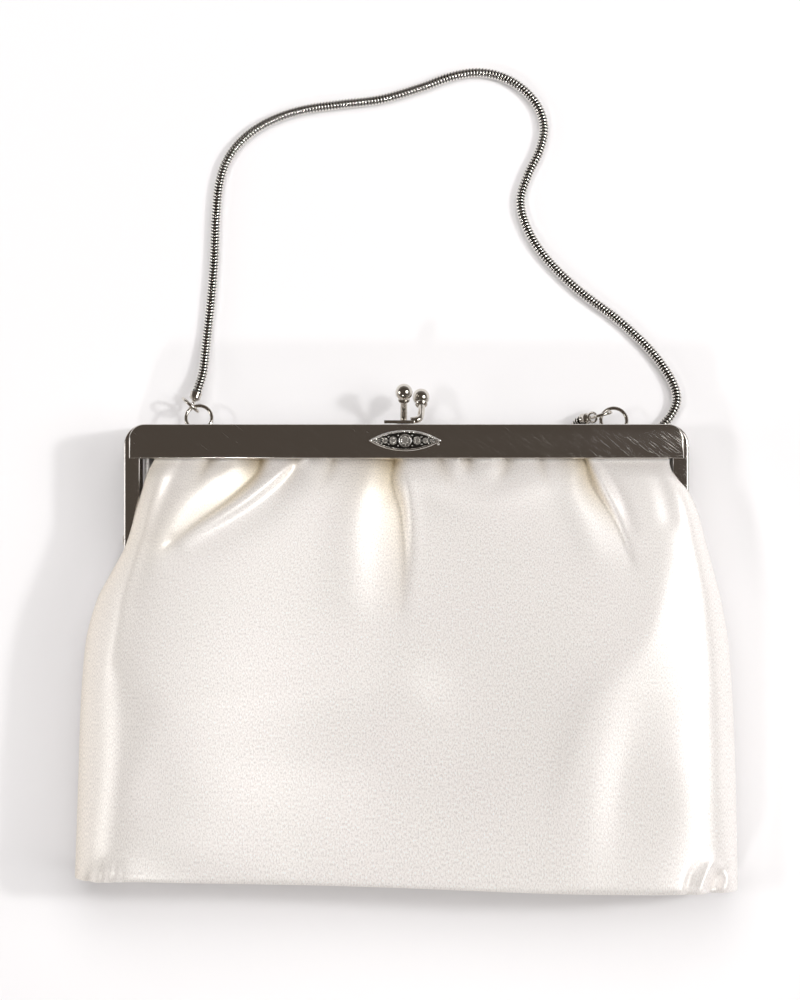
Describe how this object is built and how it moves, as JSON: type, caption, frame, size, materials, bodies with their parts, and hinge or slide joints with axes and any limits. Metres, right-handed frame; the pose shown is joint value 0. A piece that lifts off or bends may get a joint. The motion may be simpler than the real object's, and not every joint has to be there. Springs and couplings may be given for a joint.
{
  "type": "satin evening bag with snake chain handle",
  "caption": "Soft satin evening bag gathered onto a hinged metal frame, with a kiss-lock clasp, a marquise ornament and a snake-chain handle, lying on its back.",
  "frame": {"origin": "middle of the part's outline, on the surface that it lies on", "axes": "+X to the bag's right seen from the front, +Y from the base to the clasp, +Z out of the front panel"},
  "size_m": [0.2088, 0.26, 0.0388],
  "materials": {
    "satin": "ivory duchess satin with a soft sheen",
    "plated_steel": "polished nickel plate with fine scratches",
    "stone_setting": "rhodium plate set with clear paste stones"
  },
  "bodies": {
    "root": {"frame_front": "plated_steel", "frame_back": "plated_steel", "bar_plate_front": "plated_steel", "bar_plate_back": "plated_steel", "hinge_rivet_left": "plated_steel", "hinge_rivet_right": "plated_steel", "clasp_knob_front": "plated_steel", "clasp_knob_back": "plated_steel", "ornament": "stone_setting", "frame_ring_left": "plated_steel", "frame_ring_right": "plated_steel", "chain_link_left": "plated_steel", "chain_link_right": "plated_steel", "chain_cap_left": "plated_steel", "chain_cap_right": "plated_steel", "snake_chain": "plated_steel", "front_panel": "satin", "back_panel": "satin", "gusset_left": "satin", "gusset_right": "satin", "base_panel": "satin"}
  },
  "joints": []
}
